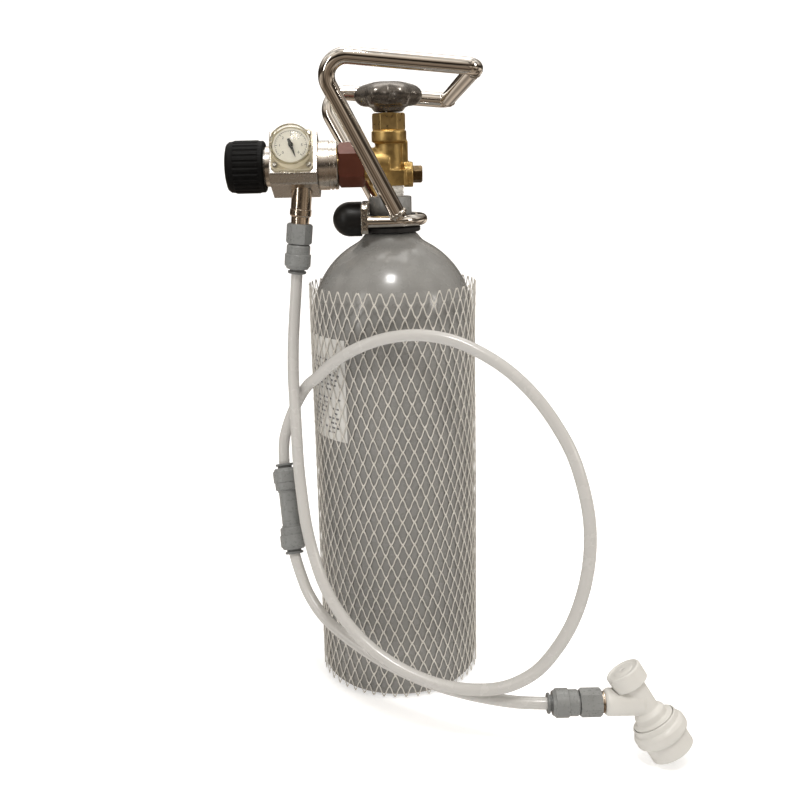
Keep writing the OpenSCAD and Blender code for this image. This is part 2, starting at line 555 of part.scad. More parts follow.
cylinder_shell();
protective_net();
info_label();
thread_tape();
valve_body();
gland_nut();
spindle_packing();
burst_plug();
handwheel();
spindle();
wheel_nut();
valve_plug();
handle_front_rod();
handle_rear_rod();
handle_cross_bar();
clamp_yoke();
clamp_plate();
clamp_screw();
clamp_cap();
neck_collar();
inlet_nut();
inlet_nipple();
inlet_washer();
inlet_cap();
regulator_body();
bonnet();
piston();
poppet();
main_spring();
adjusting_screw();
pressure_knob();
gauge_base();
gauge_dial();
bourdon_tube();
gauge_needle();
gauge_lens();
gauge_screws();
outlet_stem();
outlet_nut();
outlet_fitting();
outlet_collet();
hose_seals();
hose_a();
check_body();
check_poppet();
check_spring();
check_collet_in();
check_collet_out();
hose_b();
disc_fitting();
disc_collet();
disc_nut();
disc_flare();
disc_body();
disc_cap();
disc_pin();
pin_spring();
lock_collar();
collar_spring();
lock_balls();
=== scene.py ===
import json
import math
import bpy
import numpy as np
from mathutils import Matrix, Vector

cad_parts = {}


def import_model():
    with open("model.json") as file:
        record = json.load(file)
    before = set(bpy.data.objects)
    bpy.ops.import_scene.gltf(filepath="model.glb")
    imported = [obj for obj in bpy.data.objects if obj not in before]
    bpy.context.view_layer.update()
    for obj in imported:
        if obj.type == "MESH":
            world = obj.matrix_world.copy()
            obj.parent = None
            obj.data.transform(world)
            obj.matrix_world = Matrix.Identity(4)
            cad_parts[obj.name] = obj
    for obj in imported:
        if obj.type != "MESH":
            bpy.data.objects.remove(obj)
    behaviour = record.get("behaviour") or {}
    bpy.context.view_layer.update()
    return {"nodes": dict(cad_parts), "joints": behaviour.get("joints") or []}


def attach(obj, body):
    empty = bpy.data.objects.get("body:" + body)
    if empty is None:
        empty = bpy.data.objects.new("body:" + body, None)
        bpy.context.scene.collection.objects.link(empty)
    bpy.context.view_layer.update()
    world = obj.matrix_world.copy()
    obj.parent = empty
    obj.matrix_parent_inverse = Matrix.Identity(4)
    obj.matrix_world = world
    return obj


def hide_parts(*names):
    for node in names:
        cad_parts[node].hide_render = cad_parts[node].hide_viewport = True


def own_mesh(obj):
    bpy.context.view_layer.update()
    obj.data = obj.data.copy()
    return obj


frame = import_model()
nodes = frame["nodes"]
scene = bpy.context.scene
MM = 0.001


# ---------------------------------------------------------------- camera
def camera():
    cam = bpy.data.cameras.new("photo_camera")
    ob = bpy.data.objects.new("photo_camera", cam)
    scene.collection.objects.link(ob)
    pitch, yaw, roll = (math.radians(a) for a in (13.238, 0.056, -1.258))
    f = Vector((math.sin(yaw) * math.cos(pitch), math.cos(yaw) * math.cos(pitch), -math.sin(pitch)))
    r = Vector((math.cos(yaw), -math.sin(yaw), 0.0))
    u = r.cross(f)
    r2 = r * math.cos(roll) + u * math.sin(roll)
    u2 = -r * math.sin(roll) + u * math.cos(roll)
    m = Matrix((r2, u2, -f)).transposed().to_4x4()
    m.translation = Vector((0.0, -0.6901, 0.3926))
    ob.matrix_world = m
    cam.sensor_width = 36.0
    cam.lens = 43.19
    cam.shift_x = 0.0061
    cam.shift_y = -0.0316
    cam.clip_start = 0.01
    cam.clip_end = 20.0
    scene.camera = ob


camera()


# ------------------------------------------------------------- geometry
def unit(v):
    v = np.asarray(v, float)
    return v / np.linalg.norm(v)


def axis(rx, ry):
    rx, ry = math.radians(rx), math.radians(ry)
    return np.array([math.sin(ry), -math.cos(ry) * math.sin(rx), math.cos(ry) * math.cos(rx)])


def new_mesh(name, verts, faces, smooth=True):
    me = bpy.data.meshes.new(name)
    me.from_pydata([tuple(v) for v in np.asarray(verts, float)], [], [tuple(int(i) for i in f) for f in faces])
    me.update()
    ob = bpy.data.objects.new(name, me)
    scene.collection.objects.link(ob)
    if smooth:
        me.polygons.foreach_set("use_smooth", [True] * len(me.polygons))
    return ob


def sharpen(ob, angle=35):
    ob.data.set_sharp_from_angle(angle=math.radians(angle))


def frames(p):
    """Tangents and two normals carried along a path without twist."""
    p = np.asarray(p, float)
    t = np.zeros_like(p)
    t[1:-1] = p[2:] - p[:-2]
    t[0] = p[1] - p[0]
    t[-1] = p[-1] - p[-2]
    t /= np.linalg.norm(t, axis=1)[:, None]
    n = np.zeros_like(p)
    a = np.array([0.0, 0.0, 1.0]) if abs(t[0][2]) < 0.8 else np.array([1.0, 0.0, 0.0])
    n[0] = unit(a - t[0] * np.dot(a, t[0]))
    for i in range(1, len(p)):
        v = n[i - 1] - t[i] * np.dot(n[i - 1], t[i])
        n[i] = v / np.linalg.norm(v)
    return t, n, np.cross(t, n)


def sweep(name, path, radius, sides=24, caps=True, closed=False, squash=None):
    """Round tube along a path in mm; radius a number or one per point."""
    p = np.asarray(path, float)
    t, n, b = frames(p)
    r = np.broadcast_to(np.asarray(radius, float), (len(p),))
    a = np.arange(sides) * 2 * math.pi / sides
    ring = (np.cos(a)[None, :, None] * n[:, None, :] * (squash or 1.0) + np.sin(a)[None, :, None] * b[:, None, :])
    v = p[:, None, :] + ring * r[:, None, None]
    verts = (v.reshape(-1, 3)) * MM
    faces = []
    m = len(p)
    for i in range(m if closed else m - 1):
        j = (i + 1) % m
        for k in range(sides):
            l = (k + 1) % sides
            faces.append((i * sides + k, i * sides + l, j * sides + l, j * sides + k))
    if caps and not closed:
        faces.append(tuple(range(sides - 1, -1, -1)))
        faces.append(tuple((m - 1) * sides + k for k in range(sides)))
    return new_mesh(name, verts, faces)


def arc_bend(c, a, b, r, n):
    """Points of a round bend of radius r at corner c, coming from a, going to b."""
    c, a, b = (np.asarray(x, float) for x in (c, a, b))
    u, v = unit(a - c), unit(b - c)
    h = math.acos(float(np.dot(u, v))) / 2
    m, s = unit(u + v), unit(u - v)
    o = c + m * r / math.sin(h)
    out = []
    for k in range(n + 1):
        f = (math.pi / 2 - h) * (1 - 2 * k / n)
        out.append(o - r * math.cos(f) * m + r * math.sin(f) * s)
    return out


def densify(p, step):
    p = np.asarray(p, float)
    out = [p[0]]
    for i in range(len(p) - 1):
        d = np.linalg.norm(p[i + 1] - p[i])
        k = max(1, int(round(d / step)))
        for j in range(1, k + 1):
            out.append(p[i] + (p[i + 1] - p[i]) * j / k)
    return np.array(out)


def spline(p, m):
    p = [np.asarray(q, float) for q in p]
    out = [p[0] + (p[1] - p[0]) * k / 4 for k in range(4)]
    for i in range(1, len(p) - 2):
        for k in range(m):
            t = k / m
            out.append(0.5 * (2 * p[i] + (p[i + 1] - p[i - 1]) * t
                              + (2 * p[i - 1] - 5 * p[i] + 4 * p[i + 1] - p[i + 2]) * t * t
                              + (3 * p[i] - p[i - 1] - 3 * p[i + 1] + p[i + 2]) * t ** 3))
    out += [p[-2] + (p[-1] - p[-2]) * k / 4 for k in range(5)]
    return np.array(out)


def lathe(name, profile, n=128, matrix=None, wobble=None):
    """Closed solid of revolution about z from [radius, height] points in mm."""
    prof = np.asarray(profile, float)
    a = np.arange(n) * 2 * math.pi / n
    v = np.zeros((n, len(prof), 3))
    for i in range(n):
        rr = prof[:, 0].copy()
        if wobble is not None:
            rr = wobble(a[i], prof)
        v[i, :, 0] = rr * math.cos(a[i])
        v[i, :, 1] = rr * math.sin(a[i])
        v[i, :, 2] = prof[:, 1]
    m = len(prof)
    faces = []
    for i in range(n):
        j = (i + 1) % n
        for k in range(m):
            l = (k + 1) % m
            faces.append((i * m + k, j * m + k, j * m + l, i * m + l))
    verts = v.reshape(-1, 3)
    if matrix is not None:
        verts = (np.c_[verts, np.ones(len(verts))] @ np.array(matrix).T)[:, :3]
    ob = new_mesh(name, verts * MM, faces)
    ob.data.validate()
    return ob


def mat4(z, o, x=None):
    """4x4 that takes z to the given axis, with origin o in mm."""
    z = unit(z)
    x = np.array([0.0, 1.0, 0.0]) if x is None else np.asarray(x, float)
    x = unit(x - z * np.dot(x, z))
    y = np.cross(z, x)
    m = np.eye(4)
    m[:3, 0], m[:3, 1], m[:3, 2], m[:3, 3] = x, y, z, o
    return m


def merge(name, obs):
    """One object out of several."""
    verts, faces, off = [], [], 0
    for o in obs:
        me = o.data
        co = np.zeros(len(me.vertices) * 3)
        me.vertices.foreach_get("co", co)
        verts.append(co.reshape(-1, 3))
        faces += [[off + i for i in pl.vertices] for pl in me.polygons]
        off += len(me.vertices)
        bpy.data.objects.remove(o)
    return new_mesh(name, np.vstack(verts), faces)


def hash01(*k):
    x = math.sin(sum((i + 1) * 12.9898 * v for i, v in enumerate(k))) * 43758.5453
    return x - math.floor(x)


def baked(ob, name):
    """A new object with ob's modifiers applied; ob is removed."""
    dg = bpy.context.evaluated_depsgraph_get()
    dg.update()
    me = bpy.data.meshes.new_from_object(ob.evaluated_get(dg))
    bpy.data.objects.remove(ob)
    out = bpy.data.objects.new(name, me)
    scene.collection.objects.link(out)
    me.materials.clear()
    me.polygons.foreach_set("use_smooth", [True] * len(me.polygons))
    return out


def soften(node, name, voxel, smooth, factor=0.5):
    """A moulded or cast copy of a CAD node, with its edges and inner corners rounded."""
    src = nodes[node]
    cp = bpy.data.objects.new(name + "_tmp", src.data.copy())
    scene.collection.objects.link(cp)
    md = cp.modifiers.new("weld", "WELD")
    md.merge_threshold = 0.00001
    md = cp.modifiers.new("remesh", "REMESH")
    md.mode = "VOXEL"
    md.voxel_size = voxel * MM * 1.0
    md.use_smooth_shade = True
    md = cp.modifiers.new("smooth", "SMOOTH")
    md.factor = factor
    md.iterations = smooth
    out = baked(cp, name)
    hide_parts(node)
    return out


# ------------------------------------------------------------ materials
class Mat:
    """Builds one node material: colour with variation, roughness with
    variation, fine bump, optional rounded edges, and wear and dirt in noise patches."""

    def __init__(self, name):
        self.m = bpy.data.materials.new(name)
        self.m.use_nodes = True
        self.t = self.m.node_tree
        self.p = self.t.nodes["Principled BSDF"]
        self.tc = self.t.nodes.new("ShaderNodeTexCoord")

    def node(self, kind, **props):
        n = self.t.nodes.new(kind)
        for k, v in props.items():
            setattr(n, k, v)
        return n

    def link(self, a, b):
        self.t.links.new(a, b)

    def noise(self, scale, detail=3.0, rough=0.55, stretch=None, distortion=0.0):
        n = self.node("ShaderNodeTexNoise")
        n.inputs["Scale"].default_value = scale
        n.inputs["Detail"].default_value = detail
        n.inputs["Roughness"].default_value = rough
        n.inputs["Distortion"].default_value = distortion
        if stretch is None:
            self.link(self.tc.outputs["Object"], n.inputs["Vector"])
        else:
            mp = self.node("ShaderNodeMapping")
            mp.inputs["Scale"].default_value = stretch
            self.link(self.tc.outputs["Object"], mp.inputs["Vector"])
            self.link(mp.outputs["Vector"], n.inputs["Vector"])
        return n.outputs["Fac"]

    def ramp(self, src, lo, hi, a=0.0, b=1.0):
        r = self.node("ShaderNodeMapRange")
        r.inputs["From Min"].default_value = lo
        r.inputs["From Max"].default_value = hi
        r.inputs["To Min"].default_value = a
        r.inputs["To Max"].default_value = b
        self.link(src, r.inputs["Value"])
        return r.outputs["Result"]

    def mix(self, fac, a, b):
        x = self.node("ShaderNodeMix", data_type="RGBA")
        for sock, v in ((x.inputs[6], a), (x.inputs[7], b)):
            if isinstance(v, (tuple, list)):
                sock.default_value = (*v[:3], 1.0)
            else:
                self.link(v, sock)
        if isinstance(fac, float):
            x.inputs[0].default_value = fac
        else:
            self.link(fac, x.inputs[0])
        return x.outputs[2]

    def bump(self, layers, edge=None):
        """layers: (height socket, strength, distance in m). edge: bevel radius in mm."""
        prev = None
        if edge:
            bv = self.node("ShaderNodeBevel", samples=6)
            bv.inputs["Radius"].default_value = edge * MM
            prev = bv.outputs["Normal"]
        for h, s, d in layers:
            b = self.node("ShaderNodeBump")
            b.inputs["Strength"].default_value = s
            b.inputs["Distance"].default_value = d
            self.link(h, b.inputs["Height"])
            if prev is not None:
                self.link(prev, b.inputs["Normal"])
            prev = b.outputs["Normal"]
        if prev is not None:
            self.link(prev, self.p.inputs["Normal"])

    def set(self, **kw):
        for k, v in kw.items():
            self.p.inputs[k.replace("_", " ")].default_value = v
        return self


def surface(name, c, rough, metal=0.0, dark=0.8, light=1.12, vscale=90, rvar=0.08, bumps=(), edge=None, stretch=None,
            wear=None, **kw):
    """A general surface: colour varies between dark and light times c."""
    g = Mat(name)
    n1 = g.noise(vscale, 4.0, stretch=stretch)
    n2 = g.noise(vscale * 4.3, 3.0)
    col = g.mix(g.ramp(n1, 0.3, 0.72), tuple(x * dark for x in c), tuple(min(1, x * light) for x in c))
    if wear:
        wc, lo, hi, sc = wear
        col = g.mix(g.ramp(g.noise(sc, 5.0, 0.7, distortion=0.6), lo, hi), col, wc)
    g.link(col, g.p.inputs["Base Color"])
    g.link(g.ramp(n2, 0.3, 0.7, max(0.02, rough - rvar), rough + rvar), g.p.inputs["Roughness"])
    g.p.inputs["Metallic"].default_value = metal
    layers = []
    for sc, s, d, *st in bumps:
        layers.append((g.noise(sc, 3.0, stretch=st[0] if st else None), s, d))
    g.bump(layers, edge)
    g.set(**kw)
    return g.m


M = {}
M["paint"] = surface("cylinder_paint", (0.243, 0.241, 0.231), 0.27, dark=0.94, light=1.05, vscale=28, rvar=0.05,
                     bumps=((420, 0.08, 0.00025),),
                     wear=((0.17, 0.165, 0.155), 0.66, 0.80, 160), Coat_Weight=0.35, Coat_Roughness=0.12)
M["net"] = surface("net_strand", (0.60, 0.575, 0.525), 0.42, dark=0.88, light=1.10, vscale=120)
M["tape"] = surface("seal_tape_wraps", (0.80, 0.78, 0.73), 0.55, vscale=700, dark=0.86,
                    bumps=((900, 0.6, 0.0004, (0.3, 0.3, 3.0)), (2500, 0.3, 0.0001)))
M["cast_brass"] = surface("cast_brass", (0.66, 0.455, 0.175), 0.40, 1.0, dark=0.74, light=1.10, vscale=130, rvar=0.1,
                          bumps=((1500, 0.30, 0.00016), (420, 0.16, 0.0004)),
                          wear=((0.30, 0.195, 0.075), 0.62, 0.80, 260))
M["bright_brass"] = surface("bright_brass", (0.98, 0.71, 0.31), 0.34, 1.0, dark=0.90, light=1.02, vscale=90)
M["dark_brass"] = surface("dark_brass", (0.16, 0.11, 0.055), 0.34, 1.0, dark=0.6, light=1.4, vscale=420,
                          bumps=((1200, 0.3, 0.0002),), edge=0.35)
M["wheel"] = surface("grey_die_cast", (0.150, 0.135, 0.120), 0.28, 0.85, dark=0.86, light=1.12, vscale=80, rvar=0.06,
                     bumps=((300, 0.06, 0.00022),),
                     wear=((0.22, 0.20, 0.185), 0.66, 0.84, 200), Coat_Weight=0.25, Coat_Roughness=0.15)
M["steel"] = surface("zinc_steel", (0.55, 0.54, 0.51), 0.28, 1.0, dark=0.8, vscale=500, bumps=((1800, 0.15, 0.0001),),
                     edge=0.2)
M["chrome"] = surface("bright_chrome", (0.80, 0.76, 0.71), 0.055, 1.0, dark=0.95, light=1.05, vscale=60, rvar=0.03,
                      bumps=((110, 0.035, 0.0004),), wear=((0.62, 0.55, 0.47), 0.68, 0.86, 150))
M["chrome_rough"] = surface("welded_chrome", (0.70, 0.66, 0.60), 0.13, 1.0, dark=0.7, light=1.12, vscale=300,
                            rvar=0.06, bumps=((330, 0.9, 0.0009), (900, 0.4, 0.0003)), edge=0.4)
M["black"] = surface("black_moulding", (0.0070, 0.0068, 0.0066), 0.38, dark=0.8, light=1.5, vscale=300, rvar=0.07,
                     bumps=((2600, 0.12, 0.00008),), edge=0.25, Specular_IOR_Level=0.4)
M["knob"] = surface("black_grip", (0.0036, 0.0035, 0.0034), 0.55, dark=0.7, light=1.6, vscale=420, rvar=0.08,
                    bumps=((3200, 0.25, 0.0001),), edge=0.25, Specular_IOR_Level=0.13)
# Black rubber for the hose seals; on the neck collar the same black is painted shade and painted reflection, a dark
# ring where the clamp shades the shoulder.
M["rubber_and_shade"] = surface("black_rubber", (0.014, 0.0135, 0.013), 0.6, dark=0.8, light=1.6, vscale=200,
                      bumps=((900, 0.3, 0.0002),))
M["white_plastic"] = surface("white_plastic", (0.80, 0.78, 0.72), 0.4, vscale=200, bumps=((1500, 0.1, 0.0001),))
M["nut"] = surface("brown_anodised", (0.122, 0.036, 0.020), 0.38, 0.35, dark=0.88, light=1.08, vscale=110,
                   bumps=((240, 0.03, 0.0002, (3.0, 0.3, 0.3)),), edge=0.4,
                   wear=((0.27, 0.14, 0.10), 0.72, 0.88, 200), Specular_IOR_Level=0.4)
M["turned"] = surface("turned_aluminium", (0.80, 0.75, 0.69), 0.24, 1.0, dark=0.93, light=1.04, vscale=70,
                      bumps=((110, 0.05, 0.00025, (9.0, 0.02, 0.02)),))
M["block"] = surface("brushed_aluminium", (0.66, 0.635, 0.605), 0.25, 1.0, dark=0.93, light=1.04, vscale=70,
                     bumps=((240, 0.03, 0.00012, (0.10, 2.6, 2.6)),), edge=0.5)
M["nickel"] = surface("nickel_plate", (0.86, 0.74, 0.61), 0.19, 1.0, dark=0.90, light=1.06, vscale=160,
                      bumps=((300, 0.04, 0.0001),), edge=0.3)
M["grey"] = surface("grey_acetal", (0.226, 0.232, 0.228), 0.30, dark=0.92, light=1.08, vscale=110, rvar=0.06,
                    bumps=((700, 0.06, 0.00012),), edge=0.3, Coat_Weight=0.15, Coat_Roughness=0.25)
M["dark_grey"] = surface("grey_acetal_collet", (0.175, 0.180, 0.178), 0.34, vscale=200, bumps=((700, 0.06, 0.0001),),
                         edge=0.2)
M["ivory"] = surface("ivory_acetal", (0.655, 0.645, 0.612), 0.33, dark=0.965, light=1.03, vscale=60, rvar=0.05,
                     bumps=((600, 0.04, 0.00015),), Coat_Weight=0.15, Coat_Roughness=0.3,
                     wear=((0.56, 0.54, 0.49), 0.70, 0.86, 240))
M["hose"] = surface("milky_hose", (0.535, 0.525, 0.505), 0.26, dark=0.98, light=1.02, vscale=25, rvar=0.03,
                    Coat_Weight=0.35, Coat_Roughness=0.12, Sheen_Weight=0.12, Sheen_Roughness=0.4)
M["amber"] = surface("amber_plastic", (0.80, 0.72, 0.53), 0.18, dark=0.93, light=1.05, vscale=110, rvar=0.05,
                     bumps=((300, 0.03, 0.0001),), edge=0.3, Transmission_Weight=0.35, IOR=1.35)
M["dial"] = surface("dial_face", (0.86, 0.85, 0.81), 0.5, dark=0.97, light=1.02, vscale=200)
M["ink"] = surface("dial_ink", (0.02, 0.02, 0.022), 0.45, vscale=600)
M["label"] = surface("label_film", (0.66, 0.655, 0.63), 0.34, dark=0.94, light=1.04, vscale=70,
                     bumps=((240, 0.12, 0.0003),))
M["print"] = surface("label_print", (0.20, 0.20, 0.21), 0.4, vscale=500)


def lens_material():
    g = Mat("clear_lens")
    g.set(Base_Color=(0.97, 0.96, 0.91, 1), Roughness=0.03, Transmission_Weight=1.0, IOR=1.08, Metallic=0.0,
          Coat_Weight=0.12, Coat_Roughness=0.08)
    n = g.noise(260, 2.0)
    g.link(g.ramp(n, 0.3, 0.7, 0.015, 0.05), g.p.inputs["Roughness"])
    return g.m


M["lens"] = lens_material()


def paint_piece(ob, key):
    ob.data.materials.clear()
    ob.data.materials.append(M[key])


def finish_node(name, key):
    ob = nodes[name]
    if len(ob.material_slots) == 0:
        ob.data.materials.append(M[key])
    for s in ob.material_slots:
        s.material = M[key]


LOOK = {
    "cylinder_shell": "paint", "protective_net": "net", "info_label": "label", "thread_tape": "tape",
    "valve_body": "cast_brass", "gland_nut": "bright_brass", "spindle_packing": "white_plastic",
    "burst_plug": "dark_brass", "handwheel": "wheel", "spindle": "steel", "wheel_nut": "steel",
    "valve_plug": "white_plastic", "handle_front_rod": "chrome", "handle_rear_rod": "chrome",
    "handle_cross_bar": "chrome", "clamp_yoke": "chrome", "clamp_plate": "chrome_rough", "clamp_screw": "steel",
    # the neck collar's black is painted shade: a dark ring standing for the clamp's shadow and reflection on the
    # shoulder
    "clamp_cap": "black", "neck_collar": "rubber_and_shade", "inlet_nut": "nut", "inlet_nipple": "bright_brass",
    "inlet_washer": "white_plastic", "inlet_cap": "turned", "regulator_body": "block", "bonnet": "turned",
    "piston": "bright_brass", "poppet": "bright_brass", "main_spring": "steel", "adjusting_screw": "bright_brass",
    "pressure_knob": "knob", "gauge_base": "amber", "gauge_dial": "dial", "bourdon_tube": "bright_brass",
    "gauge_needle": "ink", "gauge_lens": "lens", "gauge_screws": "steel", "outlet_stem": "nickel",
    "outlet_nut": "grey", "outlet_fitting": "grey", "outlet_collet": "dark_grey", "hose_seals": "rubber_and_shade",
    "hose_a": "hose", "check_body": "grey", "check_poppet": "white_plastic", "check_spring": "steel",
    "check_collet_in": "dark_grey", "check_collet_out": "dark_grey", "hose_b": "hose", "disc_fitting": "grey",
    "disc_collet": "dark_grey", "disc_nut": "grey", "disc_flare": "nickel", "disc_body": "ivory",
    "disc_cap": "ivory", "disc_pin": "steel", "pin_spring": "steel", "lock_collar": "ivory",
    "collar_spring": "steel", "lock_balls": "steel",
}
for _n, _k in LOOK.items():
    finish_node(_n, _k)

# ---------------------------------------------------------------- hoses
OUT_AX, CV_AX, DC_AX = axis(0, 6), axis(-19.5, -6), axis(-13, -31)
OUT_M = np.array([-61.6, -4, 368.0]) - 61 * OUT_AX
CV_O = np.array([-76.4, -30, 103.5])
CV_T = CV_O + 66.6 * CV_AX
DC_O = np.array([176.0, -139, 8.1])
BR_O = DC_O + 37.6 * DC_AX
DF_O = np.array([94.5, BR_O[1], BR_O[2]])
ROUTE_A = [OUT_M + 15 * OUT_AX, OUT_M, [-69.5, -5, 291],
           [-71, -8, 274], [-72, -14, 256], [-72, -22.5, 237], [-71, -30.5, 218.5],
           [-70, -38, 198], [-69, -44, 177], [-67, -50, 157], [-64, -57, 136],
           [-59, -64, 116], [-52, -72.5, 98], [-41, -82, 81], [-27, -91.5, 67],
           [-11, -101, 57], [7, -110, 50], [27, -118, 46], [48, -124.5, 46],
           [68, -130, 51], [86, -134, 63], [99, -136, 80], [109, -136.5, 99],
           [116, -135, 120], [120, -131, 141], [120.5, -126, 162],
           [117.5, -119.5, 182], [111.5, -112.5, 202], [102, -105, 220],
           [90, -97.5, 236.5], [75, -90, 251], [58, -83, 262], [39, -76, 270],
           [18, -70, 273], [-3, -66, 271], [-23, -61.5, 264], [-40, -53, 253],
           [-53.5, -39.5, 239], [-62.5, -25, 229], [-71, -11, 214.5],
           [-78.5, -4.5, 198], [-83, -4, 182.5], CV_T, CV_T - 15 * CV_AX]
ROUTE_B = [CV_O + 15 * CV_AX, CV_O, [-71.5, -36.5, 89], [-66, -44, 78], [-57, -53.5, 67.5],
           [-46.5, -61.5, 59.5], [-31, -72.5, 52], [-15, -83, 46], [1, -92.5, 42], [18, -102, 39],
           [36, -111, 37.5], [55, -120, 37.5], [75, -128, 38.5], DF_O, DF_O + [15, 0, 0]]


def hose(name, route, node):
    pts = spline(route, 7)
    ob = sweep(name, pts, 4.0, sides=32)
    sharpen(ob, 50)
    paint_piece(ob, "hose")
    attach(ob, "kit")
    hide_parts(node)
    length = float(np.linalg.norm(np.diff(pts, axis=0), axis=1).sum()) * MM
    return ob, [tuple(q * MM) for q in pts], length


hose_a, path_a, len_a = hose("hose_upper", ROUTE_A, "hose_a")
hose_b, path_b, len_b = hose("hose_lower", ROUTE_B, "hose_b")


# ------------------------------------------------------------ the net
def make_net():
    R, N, H, J = 59.62, 46, 17.0, 35
    z0 = 1.9
    sub = [(0.0, 0.68), (0.07, 0.60), (0.17, 0.47), (0.34, 0.43), (0.5, 0.42), (0.66, 0.43), (0.83, 0.47), (0.93, 0.60)]
    sides = 6
    verts, faces = [], []

    def radius(phi, z):
        w = 0.30 * math.sin(3 * phi + 0.021 * z) + 0.22 * math.sin(5 * phi - 0.033 * z + 1.0)
        up = max(0.0, (z - 262) / 40.0)
        loose = 0.55 * up * up * (0.5 + 0.5 * math.cos(phi - 0.35))
        return min(60.75, max(59.28, R + 0.5 * w + loose))

    for k in range(N):
        for s in (1, -1):
            pts, rad = [], []
            for j in range(J):
                for f, r in sub:
                    pts.append((j + f, r))
            pts.append((J, 0.68))
            line, rr = [], []
            for q, r in pts:
                z = z0 + q * H / 2
                # the strands bow a little between the knots
                fr = q - math.floor(q)
                bow = 0.035 * math.sin(2 * math.pi * fr)
                drift = 0.10 * math.sin(0.37 * q + 0.9 * math.sin(k * 0.7))
                phi = 2 * math.pi * (k + s * (q / 2 + bow) + drift) / N
                # near the top the strands stand a little further out from the shell
                ra = radius(phi, z)
                if q > J - 1:
                    ra += 0.0
                line.append((ra * math.cos(phi), ra * math.sin(phi), z))
                rr.append(r * (0.92 + 0.16 * hash01(k, s, round(q * 7))))
            line = np.array(line)
            t = np.zeros_like(line)
            t[1:-1] = line[2:] - line[:-2]
            t[0] = line[1] - line[0]
            t[-1] = line[-1] - line[-2]
            t /= np.linalg.norm(t, axis=1)[:, None]
            out = line.copy()
            out[:, 2] = 0
            out /= np.linalg.norm(out, axis=1)[:, None]
            b = np.cross(t, out)
            b /= np.linalg.norm(b, axis=1)[:, None]
            a = (np.arange(sides) + 0.5) * 2 * math.pi / sides
            rr = np.array(rr)
            ring = (np.cos(a)[None, :, None] * out[:, None, :] * 0.72 + np.sin(a)[None, :, None] * b[:, None, :])
            v = line[:, None, :] + ring * rr[:, None, None]
            off = len(verts) * sides if False else sum(len(x) for x in verts)
            verts.append(v.reshape(-1, 3))
            m = len(line)
            for i in range(m - 1):
                for c in range(sides):
                    l = (c + 1) % sides
                    faces.append((off + i * sides + c, off + i * sides + l, off + (i + 1) * sides + l, off + (i + 1) * sides + c))
            faces.append(tuple(off + c for c in range(sides - 1, -1, -1)))
            faces.append(tuple(off + (m - 1) * sides + c for c in range(sides)))
    ob = new_mesh("diamond_net", np.vstack(verts) * MM, faces)
    paint_piece(ob, "net")
    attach(ob, "kit")
    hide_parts("protective_net")
    return ob


make_net()


# --------------------------------------------------------------- label
def label_bars():
    """Plain bars in columns on the label, with no lettering."""
    obs = []
    r = 58.78
    verts, faces = [], []

    def patch(a0, a1, z0, z1):
        n = 3
        off = len(verts)
        for i in range(n + 1):
            a = math.radians(a0 + (a1 - a0) * i / n)
            for z in (z0, z1):
                verts.append((r * math.cos(a), r * math.sin(a), z))
        for i in range(n):
            faces.append((off + 2 * i, off + 2 * i + 2, off + 2 * i + 3, off + 2 * i + 1))

    for row in range(15):
        z = 250.0 - row * 3.5 - (3 if row > 6 else 0)
        a = 192.0
        k = 0
        while a < 228:
            w = 1.6 + 2.6 * hash01(row, k, 3)
            if hash01(row, k, 9) > 0.28 and a + w < 230:
                patch(a, a + w, z, z + 1.25)
            a += w + 1.3
            k += 1
    ob = new_mesh("label_bars", np.array(verts) * MM, faces)
    md = ob.modifiers.new("thick", "SOLIDIFY")
    md.thickness = 0.00006
    md.offset = 0
    ob = baked(ob, "label_bars")
    paint_piece(ob, "print")
    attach(ob, "kit")


label_bars()

# -------------------------------------------------------------- handle
FR_END, FR_COR, FR_LEG = np.array([56.5, -52, 442.4]), [-48, -54, 453.2], np.array([6, -23, 347.0])
RR_END, RR_COR, RR_LEG = np.array([43.5, 52, 426.8]), [-53.5, 53, 436], np.array([-5, 23.2, 347.0])


def handle():
    p = [FR_LEG]
    p += arc_bend(FR_COR, FR_LEG, FR_END, 13, 22)
    p += arc_bend(FR_END, FR_COR, RR_END, 5.6, 12)
    p += arc_bend(RR_END, FR_END, RR_COR, 5.6, 12)
    p += arc_bend(RR_COR, RR_END, RR_LEG, 13, 22)
    p += [RR_LEG]
    # even spacing on the long straights
    q = [np.asarray(p[0], float)]
    for a in p[1:]:
        d = np.linalg.norm(a - q[-1])
        if d > 6:
            k = int(d / 5)
            s = q[-1].copy()
            for i in range(1, k):
                q.append(s + (a - s) * i / k)
        q.append(np.asarray(a, float))
    ob = sweep("carry_handle", np.array(q), 5.4, sides=48)
    sharpen(ob, 50)
    paint_piece(ob, "chrome")
    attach(ob, "kit")
    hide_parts("handle_front_rod", "handle_rear_rod", "handle_cross_bar")
    return ob


handle()


def bead(name, centre, normal, ring_r, tube_r, seed, n=72, m=14):
    """A weld bead: a lumpy ring."""
    mt = mat4(normal, centre)
    verts, faces = [], []
    for i in range(n):
        a = 2 * math.pi * i / n
        lump = 1 + 0.20 * math.sin(11 * a + seed) + 0.14 * math.sin(23 * a + 2 * seed)
        rr = ring_r + 0.25 * math.sin(3 * a + seed)
        for j in range(m):
            b = 2 * math.pi * j / m
            q = np.array([(rr + tube_r * lump * math.cos(b)) * math.cos(a),
                          (rr + tube_r * lump * math.cos(b)) * math.sin(a),
                          tube_r * lump * 1.25 * math.sin(b) + 0.3 * math.sin(2 * a + seed), 1.0])
            verts.append((mt @ q)[:3])
    for i in range(n):
        for j in range(m):
            i2, j2 = (i + 1) % n, (j + 1) % m
            faces.append((i * m + j, i2 * m + j, i2 * m + j2, i * m + j2))
    ob = new_mesh(name, np.array(verts) * MM, faces)
    paint_piece(ob, "chrome_rough")
    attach(ob, "kit")
    return ob


